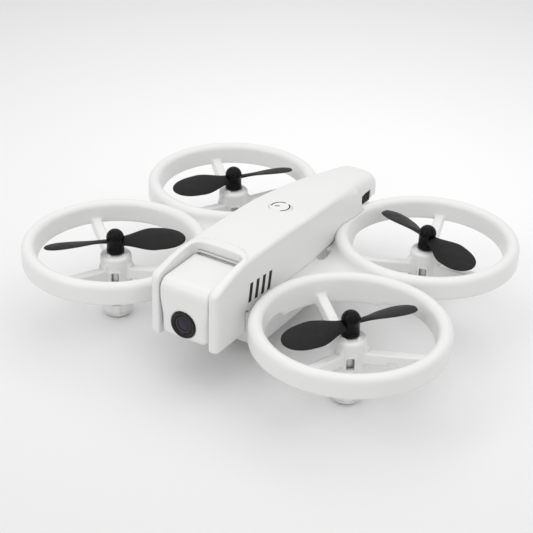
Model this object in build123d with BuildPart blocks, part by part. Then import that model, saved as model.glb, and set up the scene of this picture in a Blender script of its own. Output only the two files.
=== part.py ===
from build123d import *
import os
from math import cos, radians, sin

os.makedirs("parts", exist_ok=True)

# A palm-size camera drone with four ducted rotors. Millimetres, +Z up, nose towards -Y.
# The origin is on the floor, under the middle of the wheelbase.

# ---------------------------------------------------------------- driving dimensions
# Rotor layout and guard rings
half_wheelbase = 30.2
front_half_track = 43.4
rear_half_track = 38.1
ring_radius = 30.0
ring_width = 5.0
ring_height = 7.0
ring_base = 20.5
ring_crown = 2.2
ring_foot_round = 0.6

# Motor pods, their spokes and feet
motor_radius = 3.5
motor_length = 19.0
motor_cap_length = 1.8
motor_gap = 0.1
motor_cap_chamfer = 0.3
motor_can_round = 0.5
pod_wall = 1.5
pod_above_ring_base = 2.0
pod_lip = 0.8
pod_mouth_radius = 1.5
foot_height = 2.0
foot_flat_radius = 2.4
foot_plug = 0.6
foot_inset = 0.2
foot_bulge = 0.4
spoke_width = 3.2
spoke_height = 3.8
spoke_top_at_pod = -2.4
spoke_top_at_ring = 2.6
window_width = 2.4
window_height = 4.0
window_base = 13.4

# Propellers
shaft_radius = 0.5
shaft_gap = 0.05
shaft_in_motor = 7.0
hub_radius = 2.9
hub_height = 8.0
hub_gap = 0.4
hub_round = 2.45
hub_roof = 1.6
blade_thickness = 1.0
blade_height_in_hub = 3.6
# (distance from the axis, chord, pitch in degrees)
blade_sections = [(1.6, 3.6, 28), (5.5, 6.6, 25), (10.5, 9.2, 20),
                  (15.5, 9.4, 16), (19.8, 7.4, 13), (22.6, 3.6, 11)]

# Fuselage outline
nose_y = -53.5
notch_y = -34.3
cover_front_y = -30.3
cheek_rear_y = -37.5
flank_rear_y = 35.0
tail_y = 54.0
shoulder_height = 39.3
nose_bend_y = -34.0
nose_bend_radius = 50.0
nose_half_width = 12.1
nose_flare = 0.05
tail_bend_y = -25.0
tail_bend_radius = 400.0
body_half_width = 11.0
tail_taper = 0.063
flank_half_width = 12.0
cheek_base = 15.5
seam_height = 22.7
seam_rise_y = 0.0
seam_rise = 2.8
crown = 0.85
cover_thickness = 1.4
shell_wall = 1.4
bulkhead = 2.0
notch_half_width = 9.0
tail_round = 4.5
edge_round = 1.6
# Where the curved parts of the outline are sampled
nose_stations = [-50.0, -47.0, -44.0, -41.0]
flank_stations = [-12.0, 0.0, 12.0, 24.0]
tail_station = 44.0

# Belly tray
tray_half_width = 9.8
tray_tail_gap = 0.17
tray_step = 8.0
tray_corner = 1.6
tray_base = 15.0
tray_wall = 1.2
tray_front_y = -32.2
tray_neck_y = 12.0
tray_rear_y = 50.0
tray_lap = 0.6
# Battery tub, which clips under the tray
tub_base = 4.0
tub_front_y = -27.5
tub_rear_y = 14.0
tub_wall = 1.2
tub_round = 1.6
tub_gap = 0.05
cable_hole_y = 13.0
cable_hole_length = 4.0

# Web between the rings and the tray
web_thickness = 3.0
web_front_y = -26.0
web_rear_y = 24.0
web_tip_x = 44.0
web_shoulder_x = 20.0
seam_gap = 0.15

# Camera head
pivot_y = -43.5
pivot_z = 22.4
pin_radius = 1.5
pin_gap = 0.05
pin_in_cheek = 1.7
pin_in_head = 0.6
head_side_gap = 0.35
head_front_y = -53.3
head_back_y = -35.3
head_base = 17.3
head_front_top = 34.2
head_top = 35.9
head_slope = 4.5
head_swing_radius = 10.0
head_swing_gap = 0.6
head_wall = 1.2
head_round = 1.5
back_cover_depth = 2.2
lens_z = 22.4
barrel_radius = 3.2
bezel_radius = 4.3
bezel_thickness = 1.5
bezel_proud = 0.5
glass_radius = 2.5
glass_thickness = 0.8
glass_seat = 0.7
glass_round = 0.35
bezel_round = 0.5
lens_cavity = 3.0
barrel_length = 8.0
sensor_board_gap = 0.3
sensor_board_height = 7.0
washer_radius = 3.0
washer_slack = 0.03
lens_fit = 0.05

# Inside the fuselage
board_width = 17.0
board_front_y = -27.0
board_rear_y = 11.0
board_thickness = 1.0
board_height = 27.6
# Flight controller, gyro, radio and battery connector: (x, y, width, length, height)
board_parts = [(0, -9, 7, 7, 1.0), (-4, -16, 4, 4, 0.9), (3.4, -16.5, 4.4, 5, 1.2), (4.6, 5.5, 2, 4, 2.0)]
post_radius = 1.1
post_inset = 1.1
post_setback = 6.5
board_screw_radius = 0.5
board_screw_length = 5.0
board_screw_head_radius = 1.0
board_screw_head_height = 0.5
board_hole_radius = 0.8
seat_gap = 0.05
screw_radius = 0.7
screw_head_radius = 1.35
screw_head_height = 0.7
screw_length = 12.0
screw_gap = 0.1
screw_slack = 0.02
screw_recess = 0.3
column_radius = 1.7
boss_radius = 2.2
boss_length = 5.5
battery_width = 12.4
battery_length = 36.0
battery_thickness = 9.0
battery_front_gap = 1.3
battery_gap = 0.3
battery_round = 1.2
switch_side = 5.0
switch_body = 2.2
plunger_radius = 1.2
plunger_height = 0.8
button_radius = 3.7
button_gap = 0.12
button_flange = 0.8
button_lip = 0.7
button_round = 0.25
button_travel = 0.3
stem_radius = 1.3
usb_width = 8.9
usb_height = 3.2
usb_depth = 7.3
usb_wall = 0.35
usb_corner = 0.5
usb_back_wall = 1.0
usb_gap = 0.1
usb_roof_gap = 0.3
usb_tongue_thickness = 0.7
charging_board_width = 10.5
charging_board_length = 12.0
tail_board_thickness = 1.0
tail_board_setback = 1.0
vent_front_y = 39.6
vent_length = 6.6
vent_base = 25.0
vent_height = 4.0
vent_slats = 4
grille_depth = 0.8
grille_gap = 0.08
grille_rim = 0.5
grille_recess = 0.2

# ---------------------------------------------------------------- derived sizes
ring_bore = ring_radius - ring_width
pod_bore = motor_radius + motor_gap
pod_radius = pod_bore + pod_wall
pod_top = ring_base + pod_above_ring_base
motor_top = pod_top - pod_lip
motor_base = motor_top - motor_length
hub_base = pod_top + hub_gap
blade_z = hub_base + blade_height_in_hub
head_half_width = notch_half_width - head_side_gap
head_inner = head_half_width - head_wall
pin_inner = head_inner - pin_in_head
web_top = seam_height - seam_gap

# Each rotor: which side, front or rear, spoke directions, window directions, blade direction, spin
rotors = {
    "front_left": (-front_half_track, -half_wheelbase, (143, 9, -99), (-56, 75, 200), 44, 1),
    "front_right": (front_half_track, -half_wheelbase, (140, 8, -96), (-54, 74, 200), 61, -1),
    "rear_left": (-rear_half_track, half_wheelbase, (138, 45, -98), (-50, -150, 92), 58, -1),
    "rear_right": (rear_half_track, half_wheelbase, (106, -133, -12), (-72, 48, 167), 154, 1),
}
screw_points = [(s * x, y) for x, y in ((7.7, -30.4), (5.2, 36.0)) for s in (-1, 1)]
low = (Align.CENTER, Align.CENTER, Align.MIN)


def ridge_height(y):
    """Height of the edge between the top and the sides."""
    if y < nose_bend_y:
        return shoulder_height - (y - nose_bend_y) ** 2 / (2 * nose_bend_radius)
    if y > tail_bend_y:
        return shoulder_height - (y - tail_bend_y) ** 2 / (2 * tail_bend_radius)
    return shoulder_height


def ridge_half_width(y):
    """Half the width of the top, which narrows to the tail and flares a little to the nose."""
    return body_half_width - max(0, y) * tail_taper + max(0, nose_bend_y - y) * nose_flare


def seam_z(y):
    """Height of the shell's lower edge, which rises over the rear rings."""
    return seam_height + seam_rise * max(0, y - seam_rise_y) / (flank_rear_y - seam_rise_y)


# The charging socket hangs close under the cover at the tail.
usb_z = ridge_height(tail_y) - cover_thickness - usb_roof_gap - usb_height / 2


def finish(builder, name):
    """Label a finished piece and write it to its own file."""
    builder.part.label = name
    export_step(builder.part, f"parts/{name}.step")
    return builder.part


def section(y, wide_low, wide_high, z_low, z_high, rise=0):
    """An upright section across the fuselage at y, with a flat top or one crowned by rise."""
    with BuildSketch(Plane.XZ.offset(-y)) as face:
        with BuildLine():
            Polyline((-wide_high, z_high), (-wide_low, z_low), (wide_low, z_low), (wide_high, z_high))
            if rise:
                ThreePointArc((wide_high, z_high), (0, z_high + rise), (-wide_high, z_high))
            else:
                Line((wide_high, z_high), (-wide_high, z_high))
        make_face()
    return face.sketch


def flank_solid(inset, drop, front, rear):
    """The body between the ridge and the seam, from the cheeks to the rear flank edge."""
    sections = []
    for y in [front, *flank_stations, rear]:
        low_width = flank_half_width - inset
        high_width = ridge_half_width(y) - inset
        high = ridge_height(y) - cover_thickness
        sections.append(section(y, low_width, high_width, seam_z(y) - drop, high))
    with BuildPart() as body:
        loft(sections, ruled=True)
    return body.part


def tail_solid(inset, drop, front, rear):
    """The narrow tail behind the flanks."""
    sections = []
    for y in [front, tail_station, rear]:
        wide = ridge_half_width(y) - inset
        high = ridge_height(y) - cover_thickness
        sections.append(section(y, wide, wide, seam_z(flank_rear_y) - drop, high))
    with BuildPart() as body:
        loft(sections, ruled=True)
        fillet(body.edges().filter_by(Axis.Z).group_by(Axis.Y)[-1], tail_round - inset)
    return body.part


# ---------------------------------------------------------------- fuselage
with BuildPart() as nose:
    stations = [nose_y, *nose_stations, cheek_rear_y]
    sections = []
    for y in stations:
        sections.append(section(y, nose_half_width, ridge_half_width(y), cheek_base, ridge_height(y), crown))
    loft(sections, ruled=True)
    front_edges = nose.edges().group_by(Axis.Y)[0]
    fillet(front_edges.filter_by(lambda edge: abs(edge.center().X) > notch_half_width), edge_round)

with BuildPart() as collar:
    stations = [cheek_rear_y, nose_bend_y, cover_front_y]
    wides = [nose_half_width, nose_half_width, flank_half_width]
    sections = []
    for y, wide in zip(stations, wides):
        sections.append(section(y, wide, ridge_half_width(y), seam_height, ridge_height(y), crown))
    loft(sections, ruled=True)

swing_radius = head_swing_radius + head_swing_gap
swing_room = Pos(0, pivot_y, pivot_z) * Rot(0, 90, 0) * Cylinder(swing_radius, 2 * notch_half_width)
with BuildPart() as fuselage_shell:
    add(nose.part)
    add(collar.part)
    add(flank_solid(0, 0, cover_front_y, flank_rear_y))
    add(tail_solid(0, 0, flank_rear_y, tail_y))
    add(flank_solid(shell_wall, 1, notch_y + bulkhead, flank_rear_y), mode=Mode.SUBTRACT)
    add(tail_solid(shell_wall, 1, flank_rear_y - shell_wall, tail_y - shell_wall), mode=Mode.SUBTRACT)
    # The nose is a fork round the camera head.
    with Locations((0, (nose_y + notch_y) / 2 - 1, cheek_base)):
        Box(2 * notch_half_width, notch_y - nose_y + 2, 2 * shoulder_height, align=low, mode=Mode.SUBTRACT)
    add(swing_room, mode=Mode.SUBTRACT)
    with Locations((0, pivot_y, pivot_z)):
        pin_span = 2 * (notch_half_width + pin_in_cheek)
        Cylinder(pin_radius + pin_gap, pin_span, rotation=(0, 90, 0), mode=Mode.SUBTRACT)
    # Bosses for the belly screws
    for x, y in screw_points:
        with Locations((x, y, seam_z(y) + tray_lap)):
            Cylinder(boss_radius, boss_length, align=low)
            Cylinder(screw_radius, boss_length, align=low, mode=Mode.SUBTRACT)
    # Vent windows in the tail's sides and the charging socket in its end
    with Locations((0, vent_front_y + vent_length / 2, vent_base)):
        Box(4 * body_half_width, vent_length, vent_height, align=low, mode=Mode.SUBTRACT)
    with Locations((0, tail_y, usb_z)):
        Box(usb_width + 2 * usb_gap, 4 * shell_wall, usb_height + 2 * usb_gap, mode=Mode.SUBTRACT)
finish(fuselage_shell, "fuselage_shell")

with BuildPart() as top_cover:
    sections = []
    for y in [cover_front_y, *flank_stations, flank_rear_y, tail_station, tail_y]:
        wide = ridge_half_width(y)
        top = ridge_height(y)
        sections.append(section(y, wide, wide, top - cover_thickness, top, crown))
    loft(sections, ruled=True)
    with Locations((0, cover_front_y, shoulder_height)):
        Box(4 * body_half_width, 2 * seam_gap, 4 * cover_thickness, mode=Mode.SUBTRACT)
    with Locations((0, 0, seam_height)):
        Cylinder(button_radius + button_gap, shoulder_height, align=low, mode=Mode.SUBTRACT)
    fillet(top_cover.edges().filter_by(Axis.Z).group_by(Axis.Y)[-1], tail_round)
finish(top_cover, "top_cover")

tray_corner_y = flank_rear_y + 2
tray_tail_half_width = ridge_half_width(tray_corner_y) - shell_wall - tray_tail_gap
tray_rear_half_width = ridge_half_width(tray_rear_y) - shell_wall - tray_corner / 2
tray_outline = [(tray_half_width, tray_front_y), (tray_half_width, tray_neck_y),
                (tray_tail_half_width, tray_neck_y + tray_step), (tray_tail_half_width, tray_corner_y),
                (tray_rear_half_width, tray_rear_y)]


def tray_sketch(height, inset):
    """The tray's outline, drawn in by inset, at the given height."""
    with BuildSketch(Plane.XY.offset(height)) as outline:
        with BuildLine():
            half = [(0, tray_front_y)] + tray_outline + [(0, tray_rear_y)]
            Polyline(half)
            mirror(about=Plane.YZ)
        make_face()
        offset(amount=-inset, kind=Kind.INTERSECTION)
    return outline.sketch


with BuildPart() as belly_tray:
    tray_depth = seam_height + seam_rise + tray_lap - tray_base
    extrude(tray_sketch(tray_base, 0), amount=tray_depth)
    fillet(belly_tray.edges().group_by(Axis.Z)[0], tray_wall * 0.8)
    extrude(tray_sketch(tray_base + tray_wall, tray_wall), amount=tray_depth, mode=Mode.SUBTRACT)
    add(swing_room, mode=Mode.SUBTRACT)
    # Screw columns up to the shell's bosses
    for x, y in screw_points:
        column_top = seam_z(y) + tray_lap - seat_gap
        with Locations((x, y, column_top)):
            Cylinder(boss_radius + screw_gap, tray_depth, align=low, mode=Mode.SUBTRACT)
        with Locations((x, y, tray_base)):
            Cylinder(column_radius, column_top - tray_base, align=low)
            Cylinder(screw_radius + screw_gap, 2 * tray_depth, align=low, mode=Mode.SUBTRACT)
            recess_depth = screw_recess + screw_head_height
            Cylinder(screw_head_radius + screw_gap, recess_depth, align=low, mode=Mode.SUBTRACT)
    # A hole for the battery's leads, clearance under the charging board, and posts for the main board
    with Locations((0, cable_hole_y - tub_wall - cable_hole_length / 2, tray_base)):
        Box(battery_width / 2, cable_hole_length, tray_wall, align=low, mode=Mode.SUBTRACT)
    with Locations((0, tray_rear_y, usb_z - usb_height / 2 - tail_board_thickness - usb_gap)):
        Box(charging_board_width + 0.7, 2 * charging_board_length, tray_depth, align=low, mode=Mode.SUBTRACT)
    post_points = []
    for s in (-1, 1):
        for y in (board_front_y + post_setback, board_rear_y - post_inset):
            post_points.append((s * (board_width / 2 - post_inset), y))
    for x, y in post_points:
        post_height = board_height - tray_base - tray_wall
        with Locations((x, y, tray_base + tray_wall)):
            Cylinder(post_radius, post_height, align=low)
            Cylinder(board_screw_radius + seat_gap, post_height, align=low, mode=Mode.SUBTRACT)
finish(belly_tray, "belly_tray")

with BuildPart() as battery_tub:
    tub_length = tub_rear_y - tub_front_y
    tub_height = tray_base - tub_gap - tub_base
    with Locations((0, tub_front_y + tub_length / 2, tub_base)):
        Box(2 * tray_half_width, tub_length, tub_height, align=low)
    fillet(battery_tub.edges().filter_by(Axis.Z), tub_round)
    fillet(battery_tub.edges().group_by(Axis.Z)[0], tub_wall * 0.8)
    with Locations((0, tub_front_y + tub_length / 2, tub_base + tub_wall)):
        inner_width = 2 * (tray_half_width - tub_wall)
        Box(inner_width, tub_length - 2 * tub_wall, tub_height, align=low, mode=Mode.SUBTRACT)
finish(battery_tub, "battery_tub")

for side, side_name in ((-1, "left"), (1, "right")):
    # The web joins both rings of one side to the tray.
    with BuildPart() as side_web:
        with BuildSketch(Plane.XY.offset(web_top - web_thickness)):
            with BuildLine():
                points = [(tray_half_width, web_front_y), (tray_half_width, tray_neck_y),
                          (tray_tail_half_width, tray_neck_y + tray_step), (tray_tail_half_width, web_rear_y),
                          (web_shoulder_x, web_rear_y), (web_tip_x, 0), (web_shoulder_x, web_front_y)]
                Polyline([(side * x, y) for x, y in points], close=True)
            make_face()
            front_axis = (side * front_half_track, -half_wheelbase)
            rear_axis = (side * rear_half_track, half_wheelbase)
            with Locations(front_axis, rear_axis):
                Circle(ring_radius, mode=Mode.SUBTRACT)
        extrude(amount=web_thickness)
    finish(side_web, f"side_web_{side_name}")

    # A dark slatted grille fills each vent window in the tail.
    with BuildPart() as grille:
        wide = ridge_half_width(vent_front_y + vent_length) - grille_recess
        vent_y = vent_front_y + vent_length / 2
        with Locations((side * (wide - grille_depth / 2), vent_y, vent_base + grille_gap)):
            Box(grille_depth, vent_length - 2 * grille_gap, vent_height - 2 * grille_gap, align=low)
            pitch = vent_length / (vent_slats + 1)
            with GridLocations(0, pitch, 1, vent_slats):
                with Locations((0, 0, vent_height / 2)):
                    Box(2 * grille_depth, pitch / 2, vent_height - 2 * grille_rim, mode=Mode.SUBTRACT)
    finish(grille, f"vent_grille_{side_name}")

# ---------------------------------------------------------------- rotors
sections = []
for reach, chord, pitch in blade_sections:
    with BuildSketch(Plane.YZ.offset(reach)) as blade_face:
        Ellipse(chord / 2, blade_thickness / 2, rotation=-pitch)
    sections.append(blade_face.sketch)
blade_solid = loft(sections)

for name, (x, y, spokes, windows, blade_turn, spin) in rotors.items():
    axis_plane = Plane.XY.shift_origin((x, y, 0))

    with BuildPart() as guard_ring:
        with Locations((x, y, ring_base)):
            Cylinder(ring_radius, ring_height, align=low)
            Cylinder(ring_bore, ring_height, align=low, mode=Mode.SUBTRACT)
        fillet(guard_ring.edges().group_by(Axis.Z)[-1], ring_crown)
        fillet(guard_ring.edges().group_by(Axis.Z)[0], ring_foot_round)
        if y > 0:
            add(flank_solid(-seam_gap, seam_gap, cover_front_y, flank_rear_y + seam_gap), mode=Mode.SUBTRACT)
            add(tail_solid(-seam_gap, seam_gap, flank_rear_y, tail_y), mode=Mode.SUBTRACT)
    finish(guard_ring, f"guard_ring_{name}")

    # The pod and its three spokes are one moulding, trimmed to the ring's bore.
    with BuildPart(axis_plane.offset(foot_height)) as motor_mount:
        Cylinder(pod_radius, pod_top - foot_height, align=low)
        fillet(motor_mount.edges().group_by(Axis.Z)[-1], pod_lip)
        for turn in spokes:
            out = Vector(cos(radians(turn)), sin(radians(turn)), 0)
            with BuildSketch(Plane(origin=(x, y, 0), x_dir=out, z_dir=out.cross(Vector(0, 0, 1)))) as rib:
                with BuildLine():
                    root = (pod_bore + pod_radius) / 2
                    inner_top = ring_base + spoke_top_at_pod
                    outer_top = ring_base + spoke_top_at_ring
                    inner_base = inner_top - spoke_height
                    outer_base = outer_top - spoke_height
                    Polyline((root, inner_top), (ring_radius, outer_top), (ring_radius, outer_base),
                             (root, inner_base), close=True)
                make_face()
            extrude(rib.sketch, amount=spoke_width / 2, both=True)
        Cylinder(ring_bore, pod_top, align=low, mode=Mode.INTERSECT)
        Cylinder(pod_bore, motor_top - foot_height, align=low, mode=Mode.SUBTRACT)
        Cylinder(pod_mouth_radius, pod_top, align=low, mode=Mode.SUBTRACT)
        for turn in windows:
            with Locations(Rot(0, 0, turn) * Pos(pod_radius, 0, window_base - foot_height)):
                Box(3 * pod_wall, window_width, window_height, align=low, mode=Mode.SUBTRACT)
    finish(motor_mount, f"motor_mount_{name}")

    with BuildPart(axis_plane) as foot_cap:
        with BuildSketch(Plane(origin=(x, y, 0), x_dir=(1, 0, 0), z_dir=(0, -1, 0))):
            with BuildLine():
                rim = pod_radius - foot_inset
                bowl = ((foot_flat_radius + rim) / 2 + foot_bulge, foot_height / 2 - foot_bulge)
                plug_top = foot_height + foot_plug
                Polyline((foot_flat_radius, 0), (0, 0), (0, plug_top), (motor_radius, plug_top),
                         (motor_radius, foot_height), (rim, foot_height))
                ThreePointArc((rim, foot_height), bowl, (foot_flat_radius, 0))
            make_face()
        revolve(axis=Axis((x, y, 0), (0, 0, 1)))
    finish(foot_cap, f"foot_cap_{name}")

    with BuildPart(axis_plane.offset(motor_base)) as motor_cap:
        Cylinder(motor_radius, motor_cap_length, align=low)
        chamfer(motor_cap.edges().group_by(Axis.Z)[0], motor_cap_chamfer)
    finish(motor_cap, f"motor_cap_{name}")

    with BuildPart(axis_plane.offset(motor_base + motor_cap_length)) as motor_can:
        Cylinder(motor_radius, motor_length - motor_cap_length, align=low)
        fillet(motor_can.edges().group_by(Axis.Z)[-1], motor_can_round)
        depth = motor_length - motor_cap_length - shaft_in_motor
        with Locations((0, 0, depth)):
            Cylinder(shaft_radius + shaft_gap, shaft_in_motor, align=low, mode=Mode.SUBTRACT)
    finish(motor_can, f"motor_can_{name}")

    shaft_top = hub_base + hub_height - hub_roof
    with BuildPart(axis_plane.offset(motor_top - shaft_in_motor + shaft_gap)) as motor_shaft:
        Cylinder(shaft_radius, shaft_top - motor_top + shaft_in_motor - shaft_gap, align=low)
    finish(motor_shaft, f"motor_shaft_{name}")

    with BuildPart() as blade:
        add(blade_solid if spin < 0 else blade_solid.mirror(Plane.XZ))
    with BuildPart() as propeller:
        with Locations((0, 0, hub_base)):
            Cylinder(hub_radius, hub_height, align=low)
        fillet(propeller.edges().group_by(Axis.Z)[-1], hub_round)
        with Locations((0, 0, blade_z)):
            with PolarLocations(0, 2, start_angle=blade_turn):
                add(blade.part)
        with Locations((0, 0, hub_base)):
            Cylinder(shaft_radius, shaft_top - hub_base, align=low, mode=Mode.SUBTRACT)
    propeller.part.position = (x, y, 0)
    finish(propeller, f"propeller_{name}")

# ---------------------------------------------------------------- camera head

def head_block(inset, width):
    """The head's outline seen from the side, rounded at the back to swing inside the fork."""
    front = head_front_y + inset
    back = head_back_y - inset
    base = head_base + inset
    reach = head_swing_radius - inset
    back_low = pivot_y + (reach ** 2 - (base - pivot_z) ** 2) ** 0.5
    back_high = pivot_z + (reach ** 2 - (back - pivot_y) ** 2) ** 0.5
    with BuildPart() as block:
        with BuildSketch(Plane.YZ.offset(-width / 2)):
            with BuildLine():
                Polyline((back_low, base), (front, base), (front, head_front_top - inset),
                         (front + head_slope, head_top - inset), (back, head_top - inset), (back, back_high))
                ThreePointArc((back, back_high), (pivot_y + reach, pivot_z), (back_low, base))
            make_face()
        extrude(amount=width)
    return block.part


with BuildPart() as camera_housing:
    add(head_block(0, 2 * head_half_width))
    fillet(camera_housing.edges().filter_by(Axis.Z).group_by(Axis.Y)[0], head_round)
    add(head_block(head_wall, 2 * head_inner), mode=Mode.SUBTRACT)
    with Locations((0, head_front_y, lens_z)):
        Cylinder(barrel_radius + lens_fit, 4 * head_wall, rotation=(90, 0, 0), mode=Mode.SUBTRACT)
    # The back is open for assembly and the sides take the pivot pins.
    with Locations((0, head_back_y, (head_base + head_top) / 2)):
        Box(2 * head_inner, 5 * head_wall, head_top - head_base - 2 * head_wall, mode=Mode.SUBTRACT)
    with Locations((0, pivot_y, pivot_z)):
        Cylinder(pin_radius, 4 * head_half_width, rotation=(0, 90, 0), mode=Mode.SUBTRACT)
finish(camera_housing, "camera_housing")

with BuildPart() as camera_back_cover:
    height = head_top - head_base - 2 * head_wall - 2 * lens_fit
    with Locations((0, head_back_y - back_cover_depth, (head_base + head_top) / 2)):
        Box(2 * (head_inner - lens_fit), head_wall, height)
finish(camera_back_cover, "camera_back_cover")

with BuildPart() as lens_barrel:
    with Locations((0, head_front_y - bezel_proud + barrel_length / 2 + glass_thickness, lens_z)):
        Cylinder(barrel_radius, barrel_length, rotation=(90, 0, 0))
    with Locations((0, head_front_y - bezel_proud + glass_thickness, lens_z)):
        Cylinder(glass_radius - glass_seat, lens_cavity, rotation=(90, 0, 0), mode=Mode.SUBTRACT)
finish(lens_barrel, "lens_barrel")

with BuildPart() as lens_bezel:
    with Locations((0, head_front_y - bezel_thickness / 2, lens_z)):
        Cylinder(bezel_radius, bezel_thickness, rotation=(90, 0, 0))
        Cylinder(barrel_radius + lens_fit, bezel_thickness, rotation=(90, 0, 0), mode=Mode.SUBTRACT)
    fillet(lens_bezel.edges().group_by(Axis.Y)[0].sort_by(SortBy.RADIUS)[-1], bezel_round)
finish(lens_bezel, "lens_bezel")

with BuildPart() as lens_glass:
    with Locations((0, head_front_y - bezel_proud + glass_thickness / 2, lens_z)):
        Cylinder(glass_radius, glass_thickness - washer_slack, rotation=(90, 0, 0))
    fillet(lens_glass.edges().group_by(Axis.Y)[0], glass_round)
finish(lens_glass, "lens_glass")

with BuildPart() as image_sensor_board:
    rear_of_barrel = head_front_y - bezel_proud + glass_thickness + barrel_length
    with Locations((0, rear_of_barrel + board_thickness / 2, lens_z)):
        Box(2 * (pin_inner - sensor_board_gap), board_thickness, sensor_board_height)
finish(image_sensor_board, "image_sensor_board")

pin_tip = notch_half_width + pin_in_cheek - pin_gap
with BuildPart() as camera_pivot_pins:
    for s in (-1, 1):
        with Locations((s * (pin_tip + pin_inner) / 2, pivot_y, pivot_z)):
            Cylinder(pin_radius, pin_tip - pin_inner, rotation=(0, 90, 0))
finish(camera_pivot_pins, "camera_pivot_pins")

with BuildPart() as friction_washers:
    for s in (-1, 1):
        with Locations((s * (head_half_width + head_side_gap / 2), pivot_y, pivot_z)):
            Cylinder(washer_radius, head_side_gap - 2 * washer_slack, rotation=(0, 90, 0))
            Cylinder(pin_radius + pin_gap, head_side_gap, rotation=(0, 90, 0), mode=Mode.SUBTRACT)
finish(friction_washers, "friction_washers")

# ---------------------------------------------------------------- electronics and fasteners
with BuildPart() as main_board:
    with Locations((0, (board_front_y + board_rear_y) / 2, board_height)):
        Box(board_width, board_rear_y - board_front_y, board_thickness, align=low)
    for x, y in post_points:
        with Locations((x, y, board_height)):
            Cylinder(board_hole_radius, board_thickness, align=low, mode=Mode.SUBTRACT)
    board_top = board_height + board_thickness
    for x, y, wide, long, tall in board_parts:
        with Locations((x, y, board_top)):
            Box(wide, long, tall, align=low)
finish(main_board, "main_board")

with BuildPart() as board_screws:
    for x, y in post_points:
        with Locations((x, y, board_top)):
            Cylinder(board_screw_head_radius, board_screw_head_height, align=low)
            Cylinder(board_screw_radius, board_screw_length, align=(Align.CENTER, Align.CENTER, Align.MAX))
finish(board_screws, "board_screws")

with BuildPart() as power_switch:
    with Locations((0, 0, board_top)):
        Box(switch_side, switch_side, switch_body, align=low)
        Cylinder(plunger_radius, switch_body + plunger_height, align=low)
finish(power_switch, "power_switch")

button_top = ridge_height(0) + crown
with BuildPart() as power_button:
    flange_z = ridge_height(0) - cover_thickness - button_flange - seam_gap - button_travel
    with Locations((0, 0, flange_z)):
        Cylinder(button_radius + button_lip, button_flange, align=low)
    with Locations((0, 0, flange_z + button_flange)):
        Cylinder(button_radius, button_top - flange_z - button_flange, align=low)
    fillet(power_button.edges().group_by(Axis.Z)[-1], button_round)
    stem_base = board_top + switch_body + plunger_height + button_travel + seat_gap
    with Locations((0, 0, stem_base)):
        Cylinder(stem_radius, flange_z + button_flange / 2 - stem_base, align=low)
finish(power_button, "power_button")

with BuildPart() as battery:
    battery_y = tub_front_y + tub_wall + battery_front_gap + battery_length / 2
    with Locations((0, battery_y, tub_base + tub_wall + battery_gap / 2)):
        Box(battery_width, battery_length, battery_thickness, align=low)
    fillet(battery.edges().filter_by(Axis.Y), battery_round)
finish(battery, "battery")

with BuildPart() as usb_socket:
    with Locations((0, tail_y - usb_depth / 2, usb_z)):
        Box(usb_width, usb_depth, usb_height)
    fillet(usb_socket.edges().filter_by(Axis.Y), usb_height * 0.45)
    mouth_width = usb_width - 2 * usb_wall - usb_corner
    mouth_height = usb_height - 2 * usb_wall - usb_corner
    from_back = (Align.CENTER, Align.MIN, Align.CENTER)
    with Locations((0, tail_y - usb_depth + usb_back_wall, usb_z)):
        Box(mouth_width, usb_depth, mouth_height, align=from_back, mode=Mode.SUBTRACT)
    with Locations((0, tail_y - usb_depth + usb_back_wall / 2, usb_z)):
        tongue_width = mouth_width - 2 * usb_tongue_thickness
        Box(tongue_width, usb_depth - 2 * usb_back_wall, usb_tongue_thickness, align=from_back)
finish(usb_socket, "usb_socket")

with BuildPart() as charging_board:
    with Locations((0, tail_y - shell_wall - tail_board_setback, usb_z - usb_height / 2)):
        from_rear = (Align.CENTER, Align.MAX, Align.MAX)
        Box(charging_board_width, charging_board_length, tail_board_thickness, align=from_rear)
finish(charging_board, "charging_board")

with BuildPart() as belly_screws:
    for x, y in screw_points:
        with Locations((x, y, tray_base + screw_recess - seat_gap)):
            Cylinder(screw_head_radius, screw_head_height, align=low)
            Cylinder(screw_radius - screw_slack, screw_length, align=low)
finish(belly_screws, "belly_screws")
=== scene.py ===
"""Looks of the palm drone: detailed mouldings, propellers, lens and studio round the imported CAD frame."""
from math import cos, pi, radians, sin

import bmesh
import bpy
import numpy as np
import openvdb
from mathutils import Matrix, Vector


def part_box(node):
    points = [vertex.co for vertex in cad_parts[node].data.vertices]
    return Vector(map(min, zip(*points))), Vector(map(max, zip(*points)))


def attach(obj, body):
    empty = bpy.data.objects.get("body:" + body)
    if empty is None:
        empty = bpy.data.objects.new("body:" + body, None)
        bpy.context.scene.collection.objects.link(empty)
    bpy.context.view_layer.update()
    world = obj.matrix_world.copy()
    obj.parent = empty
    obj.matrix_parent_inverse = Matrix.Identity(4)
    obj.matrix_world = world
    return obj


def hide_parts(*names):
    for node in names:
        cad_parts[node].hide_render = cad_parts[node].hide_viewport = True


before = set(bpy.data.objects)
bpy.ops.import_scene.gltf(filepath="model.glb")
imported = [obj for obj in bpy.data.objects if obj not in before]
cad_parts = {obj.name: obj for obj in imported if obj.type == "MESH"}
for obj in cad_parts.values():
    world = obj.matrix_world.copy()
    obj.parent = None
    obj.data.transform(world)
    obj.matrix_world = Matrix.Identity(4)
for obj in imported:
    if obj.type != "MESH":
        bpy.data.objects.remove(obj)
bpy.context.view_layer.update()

# All shape sizes are in millimetres, as in the CAD, and turn to metres when a mesh is made.
MM = 0.001

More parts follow.
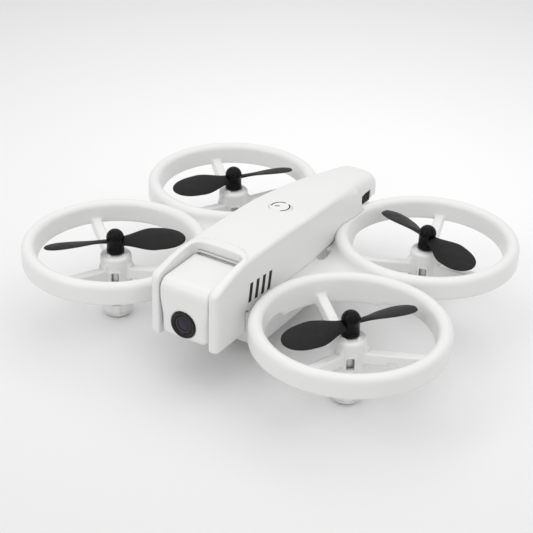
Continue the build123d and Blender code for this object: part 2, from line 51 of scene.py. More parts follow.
# ---------------------------------------------------------------- sizes shared with the CAD
RING_RADIUS = 30.0
RING_WIDTH = 5.0
RING_HEIGHT = 7.0
RING_BASE = 20.5
POD_RADIUS = 5.1
POD_TOP = 22.5
MOTOR_BORE = 3.6
MOTOR_TOP = 21.7
FOOT_SPLIT = 2.0
SPOKE_WIDTH = 3.2
SPOKE_HEIGHT = 3.8
SPOKE_TOP_AT_POD = 18.1
SPOKE_TOP_AT_RING = 23.1
WINDOW_BASE = 13.4
WINDOW_WIDTH = 2.4
WINDOW_HEIGHT = 4.0

HUB_BASE = 22.9
HUB_RADIUS = 2.9
HUB_HEIGHT = 8.0
BLADE_HEIGHT = 26.5
BLADE_TIP = 22.8

NOSE_Y = -53.5
NOTCH_Y = -34.3
CHEEK_REAR_Y = -37.5
COLLAR_REAR_Y = -30.3
FLANK_REAR_Y = 35.0
TAIL_Y = 54.0
BODY_HALF_WIDTH = 11.0
NOSE_HALF_WIDTH = 12.1
NOSE_FLARE = 0.05
FLANK_HALF_WIDTH = 12.0
TAIL_TAPER = 0.063
SHOULDER = 39.3
NOSE_BEND_Y = -34.0
NOSE_BEND_RADIUS = 50.0
TAIL_BEND_Y = -25.0
TAIL_BEND_RADIUS = 400.0
CROWN = 0.85
CHEEK_BASE = 15.5
SEAM = 22.7
SEAM_RISE = 2.8
SHELL_WALL = 1.4
NOTCH_HALF_WIDTH = 9.0
TRAY_HALF_WIDTH = 9.8
BUTTON_RADIUS = 3.7
PIVOT_Y = -43.5
PIVOT_Z = 22.4
HEAD_HALF_WIDTH = 8.65
HEAD_FRONT = -53.3
HEAD_BACK = -35.3
HEAD_BASE = 17.3
HEAD_TOP = 35.9
HEAD_SWING = 10.0
LENS_Z = 22.4

# ---------------------------------------------------------------- details of the mouldings only
RIB_HALF_WIDTH = 1.35
RIB_REACH = 6.0
RIB_TOP = 20.4
RIB_SLOPE = 1.4
FRAME_RAISED = 0.22
STRIP_HALF_WIDTH = 1.3
STRIP_MIDDLE = 7.6
STRIP_HALF_HEIGHT = 5.4
STRIP_RAISED = 0.3
SLIT_HALF_WIDTH = 1.7
SLIT_HEIGHT = 5.7
POCKET_REACH = 13.4
POCKET_Y = 7.7
POCKET_HALF_LENGTH = 3.1
COVER_SEAM_Y = -30.6
COVER_SEAM_CURL = 4.4
COVER_SEAM_DEPTH = 0.35
VENT_Y = 42.9
VENT_LENGTH = 6.6
VENT_Z = 27
VENT_HEIGHT = 4
PORT_WIDTH = 9.1
PORT_HEIGHT = 3.4
PORT_Z = 28.2
# Grooves in the notch's back wall: (middle, half height)
GROOVES = ((36.75, 0.22), (35.3, 0.5))
GROOVE_DEPTH = 0.9
MERGE_DISTANCE = 0.001

# Each rotor: spoke directions, window directions, blade direction and spin, in degrees from +X
ROTORS = {
    "front_left": ((143, 9, -99), (-56, 75, 200), 44, 1),
    "front_right": ((140, 8, -96), (-54, 74, 200), 61, -1),
    "rear_left": ((138, 45, -98), (-50, -150, 92), 58, -1),
    "rear_right": ((106, -133, -12), (-72, 48, 167), 154, 1),
}

CELL = 0.45
FINE_CELL = 0.36


# ---------------------------------------------------------------- distance fields
def smooth_union(a, b, k):
    """Join two solids with a fillet about k wide."""
    h = np.clip(0.5 + 0.5 * (b - a) / k, 0, 1)
    return b + (a - b) * h - k * h * (1 - h)


def rounded(a, b, r):
    """The overlap of two solids, the edge between their faces a fillet of radius r."""
    return np.minimum(np.maximum(a, b) + r, 0) + np.hypot(np.maximum(a + r, 0), np.maximum(b + r, 0)) - r


def ramp(value, start, end):
    """0 before start and 1 after end, turning smoothly between them."""
    t = np.clip((value - start) / (end - start), 0, 1)
    return t * t * (3 - 2 * t)


def mould(name, distance, low, high, cell):
    """A closed mesh where distance(x, y, z) is zero, each vertex drawn onto the exact surface."""
    axes = [np.arange(a, b + cell, cell) for a, b in zip(low, high)]
    x, y, z = np.meshgrid(*axes, indexing="ij")
    volume = openvdb.FloatGrid(3.0)
    volume.copyFromArray(distance(x, y, z).astype(np.float32))
    points, quads = volume.convertToQuads(0.0)
    points = points.astype(float) * cell + np.array(low)
    step = 0.02
    for _ in range(4):
        here = distance(*points.T)
        slope = np.empty_like(points)
        for axis in range(3):
            nudge = np.zeros(3)
            nudge[axis] = step
            slope[:, axis] = (distance(*(points + nudge).T) - distance(*(points - nudge).T)) / (2 * step)
        steep = np.maximum((slope ** 2).sum(axis=1), 0.25)
        move = slope * (here / steep)[:, None]
        points -= np.clip(move, -0.3 * cell, 0.3 * cell)
    return piece_from(name, points, [tuple(q[::-1]) for q in quads.tolist()])


def piece_from(name, points, faces, smooth=True):
    """A mesh object from points in millimetres."""
    mesh = bpy.data.meshes.new(name)
    mesh.from_pydata((np.asarray(points) * MM).tolist(), [], faces)
    mesh.validate()
    mesh.update()
    if smooth:
        mesh.shade_smooth()
    obj = bpy.data.objects.new(name, mesh)
    bpy.context.scene.collection.objects.link(obj)
    return obj


def ridge_height(y):
    nose = np.minimum(y - NOSE_BEND_Y, 0) ** 2 / (2 * NOSE_BEND_RADIUS)
    tail = np.maximum(y - TAIL_BEND_Y, 0) ** 2 / (2 * TAIL_BEND_RADIUS)
    return SHOULDER - nose - tail


def ridge_half_width(y):
    return BODY_HALF_WIDTH - np.maximum(y, 0) * TAIL_TAPER + np.maximum(NOSE_BEND_Y - y, 0) * NOSE_FLARE


def seam_z(y):
    return SEAM + SEAM_RISE * np.clip(y / FLANK_REAR_Y, 0, 1)


def flank_half_width(y, z):
    """Half the width of the fuselage at height z, between the seam and the ridge."""
    low = NOSE_HALF_WIDTH + (FLANK_HALF_WIDTH - NOSE_HALF_WIDTH) * ramp(y, CHEEK_REAR_Y, COLLAR_REAR_Y)
    ridge = ridge_height(y)
    t = np.clip((z - seam_z(y)) / (ridge - seam_z(y)), 0, 1)
    bulge = 0.35 * np.sin(pi * t) * ramp(y, CHEEK_REAR_Y - 6, CHEEK_REAR_Y + 6)
    return low + (ridge_half_width(y) - low) * t + bulge


# ---------------------------------------------------------------- side frames
def rotor_centre(name):
    low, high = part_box(f"motor_can_{name}")
    return (low[0] + high[0]) / 2 / MM, (low[1] + high[1]) / 2 / MM


def ring_distance(r, z):
    """A guard ring's section: upright walls, a full crown and a slight draft inside."""
    h = np.clip((z - RING_BASE) / RING_HEIGHT, 0, 1)
    half = (RING_WIDTH - 0.7 * h) / 2
    edge = np.where(h > 0.5, 2.1, 0.7)
    out = np.abs(r - (RING_RADIUS - half)) - half + edge
    up = np.abs(z - RING_BASE - RING_HEIGHT / 2) - RING_HEIGHT / 2 + edge
    return np.hypot(np.maximum(out, 0), np.maximum(up, 0)) + np.minimum(np.maximum(out, up), 0) - edge


def pod_outside(z):
    """A pod's radius at height z: upright, with a bowl-shaped foot."""
    bowl = 3.0
    low = np.clip(bowl - z, 0, bowl)
    return POD_RADIUS - bowl + np.sqrt(bowl ** 2 - low ** 2)


def motor_mount(dx, dy, z, spokes, windows):
    """A motor pod with its three spokes, ribs, window frames and clip strips."""
    r = np.hypot(dx, dy)
    body = rounded(r - pod_outside(z), z - POD_TOP, 1.1)
    body = np.maximum(body, FOOT_SPLIT + 0.05 - z)
    for turn in spokes:
        along = dx * cos(radians(turn)) + dy * sin(radians(turn))
        across = np.abs(-dx * sin(radians(turn)) + dy * cos(radians(turn)))
        rise = (SPOKE_TOP_AT_RING - SPOKE_TOP_AT_POD) * (along - MOTOR_BORE) / (RING_RADIUS - MOTOR_BORE)
        middle = SPOKE_TOP_AT_POD + rise - SPOKE_HEIGHT / 2
        spoke = rounded(across - SPOKE_WIDTH / 2, np.abs(z - middle) - SPOKE_HEIGHT / 2, 0.35)
        spoke = np.maximum(spoke, np.maximum(MOTOR_BORE + 0.3 - along, along - 26.5))
        body = smooth_union(body, spoke, 0.7)
        rib = rounded(across - RIB_HALF_WIDTH, along - RIB_REACH, 0.3)
        rib_top = RIB_TOP - RIB_SLOPE * (along - POD_RADIUS)
        rib = np.maximum(rib, np.maximum(z - rib_top, SPOKE_TOP_AT_POD - 4 - z))
        rib = np.maximum(rib, 3 - along)
        body = smooth_union(body, rib, 0.3)
    holes = np.maximum(r - MOTOR_BORE, z - MOTOR_TOP)
    holes = np.minimum(holes, r - 1.5)
    middle = WINDOW_BASE + WINDOW_HEIGHT / 2
    for turn in windows:
        along = dx * cos(radians(turn)) + dy * sin(radians(turn))
        across = np.abs(-dx * sin(radians(turn)) + dy * cos(radians(turn)))
        skin = along - pod_outside(z)
        frame_width = WINDOW_WIDTH / 2 + 0.55
        frame_height = WINDOW_HEIGHT / 2 + 0.6
        border = rounded(across - frame_width, np.abs(z - middle) - frame_height, 0.3)
        body = smooth_union(body, np.maximum(border, np.maximum(skin - FRAME_RAISED, 2 - along)), 0.15)
        strip = rounded(across - STRIP_HALF_WIDTH, np.abs(z - STRIP_MIDDLE) - STRIP_HALF_HEIGHT, 0.3)
        body = smooth_union(body, np.maximum(strip, np.maximum(skin - STRIP_RAISED, 2 - along)), 0.15)
        body = np.maximum(body, FOOT_SPLIT + 0.05 - z)
        window = rounded(across - WINDOW_WIDTH / 2, np.abs(z - middle) - WINDOW_HEIGHT / 2, 0.25)
        holes = np.minimum(holes, np.maximum(window, 1 - along))
        slit = rounded(across - SLIT_HALF_WIDTH, np.abs(z - SLIT_HEIGHT) - 0.42, 0.2)
        holes = np.minimum(holes, np.maximum(slit, 3.2 - along))
    return body, holes


def side_frame(side, names):
    """Distance to one side's moulding: both rings, the web between them, the pods and the chassis wall."""
    centres = {name: rotor_centre(name) for name in names}

    def distance(x, y, z):
        outward = side * x
        rings = None
        for cx, cy in centres.values():
            ring = ring_distance(np.hypot(x - cx, y - cy), z)
            rings = ring if rings is None else smooth_union(rings, ring, 1.0)
        web_top = SEAM - 0.9 + 0.5 * ramp(outward, 14, 24)
        plan = (np.abs(y) - (44 - outward) * 26 / 24) * 0.68
        plan = np.maximum(plan, np.maximum(np.abs(y + 0.5) - 25.5, TRAY_HALF_WIDTH + 0.1 - outward))
        web = np.maximum(plan, np.abs(z - web_top + 1.5) - 1.5)
        wall_face = 10.6 + 1.1 * np.clip((z - CHEEK_BASE) / (SEAM - CHEEK_BASE), 0, 1)
        wall_face = wall_face + (NOSE_HALF_WIDTH - 0.1 - wall_face) * ramp(-y, 28, 35)
        wall_middle = (CHEEK_BASE + SEAM) / 2
        wall = rounded(outward - wall_face, np.abs(z - wall_middle) - (SEAM - CHEEK_BASE) / 2, 0.4)
        wall = np.maximum(wall, np.maximum(TRAY_HALF_WIDTH + 0.1 - outward, np.abs(y + 7.45) - 29.95))
        solid = smooth_union(rings, web, 4.5)
        solid = smooth_union(solid, wall, 1.0)
        mounts = None
        holes = None
        for name, (cx, cy) in centres.items():
            r = np.hypot(x - cx, y - cy)
            inside = RING_RADIUS - RING_WIDTH + 0.7 * np.clip((z - RING_BASE) / RING_HEIGHT, 0, 1)
            solid = rounded(solid, inside - r, 0.25)
            body, gap = motor_mount(x - cx, y - cy, z, ROTORS[name][0], ROTORS[name][1])
            mounts = body if mounts is None else np.minimum(mounts, body)
            holes = gap if holes is None else np.minimum(holes, gap)
        solid = smooth_union(solid, mounts, 0.8)
        solid = np.maximum(solid, -holes)
        # Clip pocket in the web beside the fuselage
        pocket = rounded(outward - POCKET_REACH, np.abs(y - POCKET_Y) - POCKET_HALF_LENGTH, 1.0)
        pocket = np.maximum(pocket, np.maximum(16 - z, 10.9 - outward))
        solid = np.maximum(solid, -pocket)
        # Room for the fuselage, which covers the rear ring's inner band
        flank = np.maximum(outward - flank_half_width(y, z) - 0.12, y - FLANK_REAR_Y - 0.12)
        tail = outward - ridge_half_width(y) - 0.12
        fuselage = np.maximum(np.minimum(flank, tail), seam_z(y) - 0.14 - z)
        return np.maximum(solid, -fuselage)

    return distance


def make_side_frame(side_name, side):
    names = [f"front_{side_name}", f"rear_{side_name}"]
    low = (min(side * 7, side * 74.6), -61.2, 0.9)
    high = (max(side * 7, side * 74.6), 61.2, 28.6)
    obj = mould(f"side_frame_{side_name}", side_frame(side, names), low, high, CELL)
    replaced = [f"{kind}_{n}" for n in names for kind in ("guard_ring", "motor_mount")]
    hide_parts(f"side_web_{side_name}", *replaced)
    return obj


# ---------------------------------------------------------------- fuselage and camera head
def fuselage(x, y, z):
    """The white body: a fork round the camera, flanks down to the seam, a crowned top and a rounded tail."""
    ax = np.abs(x)
    wide = ridge_half_width(y)
    # A faint arc is pressed into each cheek.
    arc = ramp(np.hypot(y + 51.5, z - 22.5), 10.1, 10.7)
    flank = rounded(ax - flank_half_width(y, z) - 0.1 * (1 - arc), y - FLANK_REAR_Y, 0.5)
    tail = rounded(ax - wide, y - TAIL_Y, 4.5)
    sides = smooth_union(flank, tail, 0.5)
    top = z - ridge_height(y) - CROWN * (1 - (x / wide) ** 2)
    outer = rounded(sides, top, 1.0 + 2.4 * ramp(y, 15, 54))
    skin = rounded(outer, NOSE_Y - y, 2.0)
    floor = smooth_union(seam_z(y) - z, np.maximum(CHEEK_BASE - z, y - CHEEK_REAR_Y), 1.2)
    skin = rounded(skin, floor, np.where(y < CHEEK_REAR_Y + 1, 1.7, 0.3))
    notch = rounded(ax - NOTCH_HALF_WIDTH, y - NOTCH_Y, 2.4)
    skin = rounded(skin, -notch, 0.55)
    # Two grooves run across the notch's back wall, just over the camera head.
    groove_reach = np.maximum(y - NOTCH_Y - GROOVE_DEPTH, ax - NOTCH_HALF_WIDTH + GROOVE_DEPTH)
    for middle, half in GROOVES:
        skin = np.maximum(skin, -np.maximum(np.abs(z - middle) - half, groove_reach))
    cavity = np.maximum(np.maximum(sides, top) + SHELL_WALL, NOTCH_Y + 2 - y)
    skin = np.maximum(skin, -cavity)
    skin = np.maximum(skin, BUTTON_RADIUS + 0.06 - np.hypot(x, y))
    # The cover's front seam crosses the top behind the notch and curls round its corners.
    seam = np.abs(y - COVER_SEAM_Y + COVER_SEAM_CURL * (ax / 10.5) ** 4) - 0.2
    skin = np.maximum(skin, -np.maximum(seam, -top - COVER_SEAM_DEPTH))
    vent = rounded(np.abs(y - VENT_Y) - VENT_LENGTH / 2, np.abs(z - VENT_Z) - VENT_HEIGHT / 2, 0.4)
    skin = np.maximum(skin, -np.maximum(vent, 5 - ax))
    port = rounded(ax - PORT_WIDTH / 2, np.abs(z - PORT_Z) - PORT_HEIGHT / 2, 1.5)
    return np.maximum(skin, -np.maximum(port, 50 - y))


def camera_head(x, y, z):
    """The camera housing, rounded over its front edge and swept at the back to swing in the fork."""
    ax = np.abs(x)
    top = z - HEAD_TOP + 0.03 * np.maximum(HEAD_BACK - y, 0)
    profile = rounded(HEAD_FRONT - y, top, 3.4)
    profile = rounded(profile, HEAD_BASE - z, 1.2)
    profile = rounded(profile, y - HEAD_BACK, 0.4)
    corner = 0.9 + 1.9 * ramp(-z, -LENS_Z - 8, -LENS_Z + 1)
    block = rounded(profile, ax - HEAD_HALF_WIDTH, corner)
    swing = np.hypot(y - PIVOT_Y, z - PIVOT_Z) - HEAD_SWING
    block = np.maximum(block, np.where((y > PIVOT_Y) & (z < PIVOT_Z), swing, -1))
    lens = np.hypot(x, z - LENS_Z)
    block = np.maximum(block, -np.maximum(lens - 4.38, y + 51.9))
    return block


# ---------------------------------------------------------------- turned and lofted pieces
def turned(name, profile, centre, axis="Z", steps=96):
    """A closed solid of revolution from (radius, height) points, about an axis through centre."""
    points = []
    faces = []
    n = len(profile)
    for i in range(steps):
        a = 2 * pi * i / steps
        for radius, height in profile:
            if axis == "Z":
                points.append((centre[0] + radius * cos(a), centre[1] + radius * sin(a), centre[2] + height))
            else:
                points.append((centre[0] + radius * cos(a), centre[1] + height, centre[2] + radius * sin(a)))
    for i in range(steps):
        for j in range(n):
            a = i * n + j
            b = i * n + (j + 1) % n
            c = ((i + 1) % steps) * n + (j + 1) % n
            d = ((i + 1) % steps) * n + j
            faces.append((a, d, c, b) if axis == "Z" else (a, b, c, d))
    obj = piece_from(name, points, faces)
    merge(obj)
    return obj


def merge(obj):
    """Joins the points that a turned profile leaves on its axis, and points every face outwards."""
    work = bmesh.new()
    work.from_mesh(obj.data)
    bmesh.ops.remove_doubles(work, verts=work.verts, dist=MERGE_DISTANCE * MM)
    bmesh.ops.dissolve_degenerate(work, edges=work.edges, dist=MERGE_DISTANCE * MM)
    bmesh.ops.recalc_face_normals(work, faces=work.faces)
    work.to_mesh(obj.data)
    work.free()
    obj.data.shade_smooth()


def arc(cx, cy, r, start, end, steps=8):
    """Points of a circular arc, angles in degrees."""
    return [(cx + r * cos(radians(start + (end - start) * i / steps)),
             cy + r * sin(radians(start + (end - start) * i / steps))) for i in range(steps + 1)]


def blade_points(turn, spin):
    """Sections of one blade: a leaf outline, twisted, thin at the edges and drooping a little to the tip."""
    sections = 44
    around = 28
    points = []
    for i in range(sections + 1):
        reach = 1.2 + (BLADE_TIP - 1.2) * (1 - (1 - i / sections) ** 1.35)
        t = reach / BLADE_TIP
        chord = 3.6 + 6.3 * ramp(t, 0.06, 0.56)
        tip = np.clip((t - 0.60) / 0.40, 0, 1)
        chord *= np.sqrt(max(1 - tip ** 2.7, 0)) + 0.012
        pitch = radians(30 - 19 * t ** 0.8) * spin
        thick = (1.5 - 0.95 * ramp(t, 0.05, 0.5)) * (1 - 0.35 * tip)
        camber = 0.06 * chord
        for j in range(around):
            a = 2 * pi * j / around
            u = chord / 2 * cos(a)
            v = thick / 2 * sin(a) * abs(sin(a)) ** 0.2 + camber * (1 - (2 * u / chord) ** 2)
            across = u * cos(pitch) - v * sin(pitch)
            up = u * sin(pitch) + v * cos(pitch) - 0.5 * t ** 2
            direction = radians(turn)
            points.append((reach * cos(direction) - across * sin(direction),
                           reach * sin(direction) + across * cos(direction), up))
    faces = []
    for i in range(sections):
        for j in range(around):
            k = (j + 1) % around
            faces.append((i * around + j, i * around + k, (i + 1) * around + k, (i + 1) * around + j))
    faces.append(tuple(reversed(range(around))))
    faces.append(tuple(sections * around + j for j in range(around)))
    return points, faces


def make_propeller(name):
    cx, cy = rotor_centre(name)
    turn, spin = ROTORS[name][2:]
    blades = []
    for k in range(2):
        points, faces = blade_points(turn + 180 * k, spin)
        placed = [(cx + px, cy + py, BLADE_HEIGHT + pz) for px, py, pz in points]
        blade = piece_from(f"blade_{k + 1}_{name}", placed, faces)
        merge(blade)
        blades.append(blade)
    dome = arc(0, HUB_HEIGHT - HUB_RADIUS, HUB_RADIUS, 0, 90, 20)
    waist = HUB_RADIUS - 0.12
    profile = [(0, 0), (HUB_RADIUS - 0.25, 0), (HUB_RADIUS, 0.2), (HUB_RADIUS, 1.2),
               (waist, 1.35), (waist, 4.6), (HUB_RADIUS, 4.8)] + dome
    hub = turned(f"hub_{name}", profile, (cx, cy, HUB_BASE))
    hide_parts(f"propeller_{name}")
    return hub, blades


# ---------------------------------------------------------------- materials
def material(name, color, roughness, metallic=0.0):
    """A principled material; returns it with its shader and its node tree."""
    mat = bpy.data.materials.new(name)
    mat.use_nodes = True
    shader = mat.node_tree.nodes["Principled BSDF"]
    shader.inputs["Base Color"].default_value = (*color, 1)
    shader.inputs["Roughness"].default_value = roughness
    shader.inputs["Metallic"].default_value = metallic
    return mat, shader, mat.node_tree


def node(tree, kind, **values):
    made = tree.nodes.new(kind)
    for key, value in values.items():
        if key in made.inputs:
            made.inputs[key].default_value = value
        else:
            setattr(made, key, value)
    return made


def noise(tree, scale, detail=3.0, stretch=None):
    """Noise over the object's own coordinates, scale in features per metre."""
    place = node(tree, "ShaderNodeTexCoord")
    texture = node(tree, "ShaderNodeTexNoise", Scale=scale, Detail=detail)
    if stretch:
        mapping = node(tree, "ShaderNodeMapping", Scale=stretch)
        tree.links.new(place.outputs["Object"], mapping.inputs["Vector"])
        tree.links.new(mapping.outputs["Vector"], texture.inputs["Vector"])
    else:
        tree.links.new(place.outputs["Object"], texture.inputs["Vector"])
    return texture.outputs["Fac"]


def vary(tree, source, shader, socket, low, high):
    """Drives a socket between low and high with a noise."""
    spread = node(tree, "ShaderNodeMapRange")
    spread.inputs["From Min"].default_value = 0.3
    spread.inputs["From Max"].default_value = 0.7
    spread.inputs["To Min"].default_value = low
    spread.inputs["To Max"].default_value = high
    tree.links.new(source, spread.inputs["Value"])
    tree.links.new(spread.outputs["Result"], shader.inputs[socket])


def tint(tree, source, shader, low, high):
    """Blends the base colour between two colours with a noise."""
    mix = node(tree, "ShaderNodeMix", data_type="RGBA")
    mix.inputs[6].default_value = (*low, 1)
    mix.inputs[7].default_value = (*high, 1)
    tree.links.new(source, mix.inputs["Factor"])
    tree.links.new(mix.outputs[2], shader.inputs["Base Color"])


def grain(tree, shader, source, strength, depth):
    bump = node(tree, "ShaderNodeBump", Strength=strength, Distance=depth)
    tree.links.new(source, bump.inputs["Height"])
    tree.links.new(bump.outputs["Normal"], shader.inputs["Normal"])


def white_plastic(name, base, roughness):
    """Satin white moulding: faint tone drift, handled patches of gloss and a fine moulded grain."""
    mat, shader, tree = material(name, (base, base, base), roughness)
    shader.inputs["Coat Weight"].default_value = 0.25
    shader.inputs["Coat Roughness"].default_value = 0.22
    shader.inputs["IOR"].default_value = 1.49
    dull = (base - 0.012, base - 0.014, base - 0.02)
    bright = (base + 0.01, base + 0.009, base + 0.006)
    tint(tree, noise(tree, 55), shader, dull, bright)
    vary(tree, noise(tree, 160, 4), shader, "Roughness", roughness - 0.05, roughness + 0.07)
    grain(tree, shader, noise(tree, 5200, 2), 0.05, 0.00003)
    return mat


def black_plastic(name, base, roughness, grain_strength=0.12, shine=0.3):
    """Black moulding with flow streaks and a fine grain."""
    mat, shader, tree = material(name, (base, base, base), roughness)
    shader.inputs["Specular IOR Level"].default_value = shine
    tint(tree, noise(tree, 300, 4, (1, 1, 4)), shader, (base * 0.8,) * 3, (base * 1.35,) * 3)
    vary(tree, noise(tree, 420, 4), shader, "Roughness", roughness - 0.05, roughness + 0.08)
    grain(tree, shader, noise(tree, 4200, 2), grain_strength, 0.00004)
    return mat


def metal(name, color, roughness, stretch):
    """Drawn or ground metal with fine lines along the draw."""
    mat, shader, tree = material(name, color, roughness, 1.0)
    lines = noise(tree, 900, 5, stretch)
    vary(tree, lines, shader, "Roughness", roughness - 0.08, roughness + 0.12)
    grain(tree, shader, lines, 0.2, 0.00002)
    tint(tree, noise(tree, 260), shader, tuple(c * 0.86 for c in color), color)
    return mat


def make_materials():
    mats = {
        "white_shell": white_plastic("white_shell_plastic", 0.79, 0.34),
        "white_frame": white_plastic("white_frame_plastic", 0.785, 0.36),
        "propeller": black_plastic("propeller_black_plastic", 0.011, 0.46, 0.12, 0.16),
        "hub": black_plastic("hub_polished_black", 0.003, 0.2, 0.02, 0.14),
        "black_trim": black_plastic("trim_black_plastic", 0.012, 0.5),
        "black_gloss": black_plastic("bezel_black_gloss", 0.004, 0.18, 0.02, 0.3),
        "ring_grey": black_plastic("lens_ring_grey", 0.045, 0.35),
        "ink": black_plastic("print_ink", 0.010, 0.55),
        "motor": metal("motor_drawn_steel", (0.60, 0.60, 0.61), 0.3, (1, 1, 0.05)),
        "pin": metal("ground_steel", (0.58, 0.58, 0.60), 0.25, (0.05, 1, 1)),
        "screw": metal("blackened_steel", (0.16, 0.16, 0.17), 0.38, (1, 1, 0.2)),
        "socket": metal("plated_steel", (0.70, 0.70, 0.72), 0.22, (1, 0.05, 1)),
    }
    mat, shader, tree = material("coated_lens_glass", (0.012, 0.009, 0.02), 0.04)
    shader.inputs["Specular IOR Level"].default_value = 0.2
    shader.inputs["Coat Weight"].default_value = 0.3
    shader.inputs["Coat Roughness"].default_value = 0.02
    shader.inputs["Coat Tint"].default_value = (0.78, 0.62, 1.0, 1)
    tint(tree, noise(tree, 260), shader, (0.008, 0.007, 0.014), (0.03, 0.016, 0.05))
    vary(tree, noise(tree, 900), shader, "Roughness", 0.03, 0.07)
    mats["glass"] = mat
    mat, shader, tree = material("solder_mask", (0.012, 0.07, 0.04), 0.32)
    tint(tree, noise(tree, 700, 4), shader, (0.01, 0.055, 0.03), (0.02, 0.10, 0.055))
    vary(tree, noise(tree, 900), shader, "Roughness", 0.26, 0.42)
    mats["board"] = mat
    mat, shader, tree = material("battery_pouch_film", (0.55, 0.56, 0.58), 0.3, 0.75)
    tint(tree, noise(tree, 240), shader, (0.46, 0.47, 0.49), (0.62, 0.63, 0.65))
    grain(tree, shader, noise(tree, 500, 3), 0.35, 0.0002)
    mats["battery"] = mat
    mat, shader, tree = material("washer_rubber_black", (0.02, 0.02, 0.02), 0.75)
    tint(tree, noise(tree, 900), shader, (0.014, 0.014, 0.014), (0.03, 0.03, 0.03))
    grain(tree, shader, noise(tree, 3000), 0.3, 0.00005)
    mats["rubber"] = mat
    return mats


# The finish of each CAD node that stays in sight, by the start of its name; a later line wins
CAD_FINISH = {
    "belly_tray": "white_frame", "foot_cap": "white_frame", "motor_cap": "white_frame",
    "motor_can": "motor", "motor_shaft": "pin", "camera_back_cover": "white_frame",
    "lens_barrel": "black_trim", "vent_grille": "black_trim", "image_sensor_board": "board",
    "main_board": "board", "charging_board": "board", "camera_pivot_pins": "pin",
    "friction_washers": "rubber", "board_screws": "screw", "belly_screws": "screw",
    "power_switch": "black_trim", "power_button": "white_shell", "battery": "battery",
    "battery_tub": "white_frame", "usb_socket": "socket", "top_cover": "white_shell",
}


def paint(obj, mat):
    obj.data.materials.clear()
    obj.data.materials.append(mat)


# ---------------------------------------------------------------- building
mats = make_materials()

for side_name, side in (("left", -1), ("right", 1)):
    side_piece = make_side_frame(side_name, side)
    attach(side_piece, "airframe")
    paint(side_piece, mats["white_frame"])

shell = mould("fuselage_shell_skin", fuselage, (-13.2, -54.6, 14.4), (13.2, 55.2, 41.4), FINE_CELL)
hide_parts("fuselage_shell", "top_cover")
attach(shell, "airframe")
paint(shell, mats["white_shell"])

head = mould("camera_housing_skin", camera_head, (-8.8, -54.5, 16.2), (8.8, -34.1, 37.1), FINE_CELL)
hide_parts("camera_housing")
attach(head, "camera")
paint(head, mats["white_shell"])

for name in ROTORS:
    hub, blades = make_propeller(name)
    for obj in [hub] + blades:
        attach(obj, f"rotor_{name}")
    paint(hub, mats["hub"])
    for blade in blades:
        paint(blade, mats["propeller"])

# Lens: a gloss bezel, a stepped grey ring inside it, and a domed coated glass
lens_face = HEAD_FRONT - 0.5
bezel_outside = [(4.3, 1.6), (4.3, 0.35)] + arc(4.0, 0.3, 0.3, 0, -90, 6)
bezel_steps = [(3.75, 0.0), (3.62, 0.22), (3.4, 0.25), (3.28, 0.1), (3.1, 0.14), (2.75, 0.55), (2.75, 1.6)]
bezel_profile = bezel_outside + bezel_steps
bezel = turned("lens_bezel_ring", bezel_profile, (0, lens_face, LENS_Z), "Y")
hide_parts("lens_bezel")
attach(bezel, "camera")
paint(bezel, mats["black_gloss"])
inner_profile = [(2.74, 0.5), (2.62, 0.42), (2.45, 0.46), (2.3, 0.75), (2.3, 1.5), (2.74, 1.5)]
inner = turned("lens_inner_ring", inner_profile, (0, lens_face, LENS_Z), "Y")
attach(inner, "camera")
paint(inner, mats["ring_grey"])
dome = [(2.29 * sin(radians(a)), 0.95 - 0.45 * (cos(radians(a)))) for a in range(0, 91, 9)]
glass = turned("lens_glass_dome", dome + [(2.29, 1.5), (0, 1.5)], (0, lens_face, LENS_Z), "Y")
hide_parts("lens_glass")
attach(glass, "camera")
paint(glass, mats["glass"])


def print_strip(name, one_edge, other_edge, place, body, mat):
    """Thin ink between two edges of equal length; place turns (u, v, lift) into a point on the surface."""
    count = len(one_edge)
    points = [place(u, v, lift) for lift in (0.03, -0.05) for edge in (one_edge, other_edge) for u, v in edge]
    faces = []
    for i in range(count - 1):
        a, b, c, d = i, i + 1, count + i + 1, count + i
        faces.append((a, b, c, d))
        faces.append(tuple(k + 2 * count for k in (d, c, b, a)))
        faces.append((a, 2 * count + a, 2 * count + b, b))
        faces.append((d, c, 2 * count + c, 2 * count + d))
    for a, d in ((0, count), (count - 1, 2 * count - 1)):
        faces.append((a, d, 2 * count + d, 2 * count + a))
    obj = piece_from(name, points, faces, smooth=False)
    merge(obj)
    obj.data.shade_flat()
    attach(obj, body)
    paint(obj, mat)
    return obj


def on_flank(side):
    def place(y, z, lift):
        return side * (float(flank_half_width(np.float64(y), np.float64(z))) + lift), y, z
    return place


# Plain slanted bars stand where the real drone has printing.
for side_name, side in (("left", -1), ("right", 1)):
    for i in range(4):
        y = -36.8 + 3.5 * i
        z = 25.9 - 0.25 * i
        steps = [k / 8 for k in range(9)]
        front_edge = [(y + 1.4 * t, z + 6.0 * t) for t in steps]
        rear_edge = [(y + 1.6 + 1.4 * t, z - 0.1 + 6.0 * t) for t in steps]
        print_strip(f"side_bar_{i + 1}_{side_name}", front_edge, rear_edge, on_flank(side),
                    "airframe", mats["ink"])


def on_button(x, y, lift):
    button_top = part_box("power_button")[1][2] / MM
    return x, y, button_top + lift * 0.6


icon_outer = 3.2
icon_inner = 2.75
for k, (start, end) in enumerate(((-60, 60), (85, 200))):
    outer_edge = arc(0, -0.1, icon_outer, start, end, 24)
    inner_edge = arc(0, -0.1, icon_inner, start, end, 24)
    print_strip(f"power_icon_arc_{k + 1}", outer_edge, inner_edge,
                on_button, "power_button", mats["ink"])
print_strip("power_icon_stroke", [(-1.9, -0.6), (-0.5, 0.25)], [(-1.55, -0.95), (-0.2, -0.05)],
            on_button, "power_button", mats["ink"])

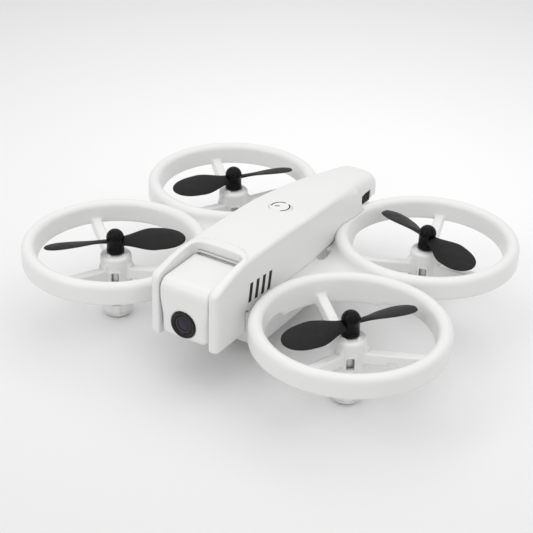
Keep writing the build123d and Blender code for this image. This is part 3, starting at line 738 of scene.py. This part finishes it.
for cad_name, cad_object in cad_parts.items():
    for prefix, finish_name in CAD_FINISH.items():
        if cad_name.startswith(prefix):
            for i in range(max(1, len(cad_object.data.materials))):
                if cad_object.data.materials:
                    cad_object.data.materials[i] = mats[finish_name]
                else:
                    cad_object.data.materials.append(mats[finish_name])


# ---------------------------------------------------------------- studio
def make_floor():
    """A pale sweep of floor with a painted pool of light: its colour is brightest round the drone and darker
    further off.
    """
    mesh = bpy.data.meshes.new("studio_floor")
    half = 3.0
    corners = [(-half, -half, 0), (half, -half, 0), (half, half, 0), (-half, half, 0)]
    mesh.from_pydata(corners, [], [(0, 1, 2, 3)])
    floor = bpy.data.objects.new("studio_floor", mesh)
    bpy.context.scene.collection.objects.link(floor)
    mat, shader, tree = material("floor_paper_painted_light", (0.8, 0.8, 0.8), 0.65)
    # Painted light: the base colour fades from 0.90 near the drone to 0.46 further off, standing in for the
    # lamps' light falling away.
    place = node(tree, "ShaderNodeTexCoord")
    shift = node(tree, "ShaderNodeMapping")
    shift.inputs["Location"].default_value = (0.03, -0.10, 0)
    painted_light_distance = node(tree, "ShaderNodeVectorMath", operation="LENGTH")
    tree.links.new(place.outputs["Object"], shift.inputs["Vector"])
    tree.links.new(shift.outputs["Vector"], painted_light_distance.inputs[0])
    painted_light_ramp = node(tree, "ShaderNodeValToRGB")
    painted_light_ramp.color_ramp.elements[0].position = 0.05
    painted_light_ramp.color_ramp.elements[0].color = (0.90, 0.90, 0.90, 1)
    painted_light_ramp.color_ramp.elements[1].position = 0.55
    painted_light_ramp.color_ramp.elements[1].color = (0.46, 0.46, 0.46, 1)
    tree.links.new(painted_light_distance.outputs["Value"], painted_light_ramp.inputs["Fac"])
    tree.links.new(painted_light_ramp.outputs["Color"], shader.inputs["Base Color"])
    mesh.materials.append(mat)


def softbox(name, azimuth, elevation, distance, size, watts):
    """An area light aimed at the drone."""
    light = bpy.data.lights.new(name, "AREA")
    light.shape = "RECTANGLE"
    light.size, light.size_y = size
    light.energy = watts
    lamp = bpy.data.objects.new(name, light)
    a, e = radians(azimuth), radians(elevation)
    aim = Vector((0, 0, 0.02))
    lamp.location = aim + distance * Vector((sin(a) * cos(e), -cos(a) * cos(e), sin(e)))
    lamp.rotation_euler = (lamp.location - aim).to_track_quat("Z", "Y").to_euler()
    bpy.context.scene.collection.objects.link(lamp)


def make_camera():
    """Azimuth, elevation, roll, distance and lens as the photograph was taken."""
    azimuth, elevation, roll = 0.555, 0.519, 0.027
    distance = 0.44113
    target = Vector((-0.007583, 0.004659, 0.012608))
    back = Vector((sin(azimuth) * cos(elevation), -cos(azimuth) * cos(elevation), sin(elevation)))
    right = Vector((cos(azimuth), sin(azimuth), 0))
    up = back.cross(right)
    turned_right = cos(roll) * right + sin(roll) * up
    turned_up = -sin(roll) * right + cos(roll) * up
    camera = bpy.data.cameras.new("camera")
    camera.sensor_width = 36.0
    camera.lens = 89.26
    camera.clip_start = 0.01
    seat = bpy.data.objects.new("camera", camera)
    seat.matrix_world = Matrix.Translation(target + distance * back) @ Matrix(
        (turned_right, turned_up, back)).transposed().to_4x4()
    bpy.context.scene.collection.objects.link(seat)
    bpy.context.scene.camera = seat


make_floor()
softbox("overhead", 180, 82, 0.9, (1.2, 1.2), 3.3)
softbox("key_left", -25, 42, 0.8, (0.35, 0.45), 0.85)
softbox("key_right", 70, 42, 0.8, (0.35, 0.45), 0.3)
world = bpy.data.worlds.new("studio")
world.use_nodes = True
world.node_tree.nodes["Background"].inputs["Color"].default_value = (1, 1, 1, 1)
world.node_tree.nodes["Background"].inputs["Strength"].default_value = 0.77
bpy.context.scene.world = world
bpy.context.scene.view_settings.view_transform = "Standard"
make_camera()
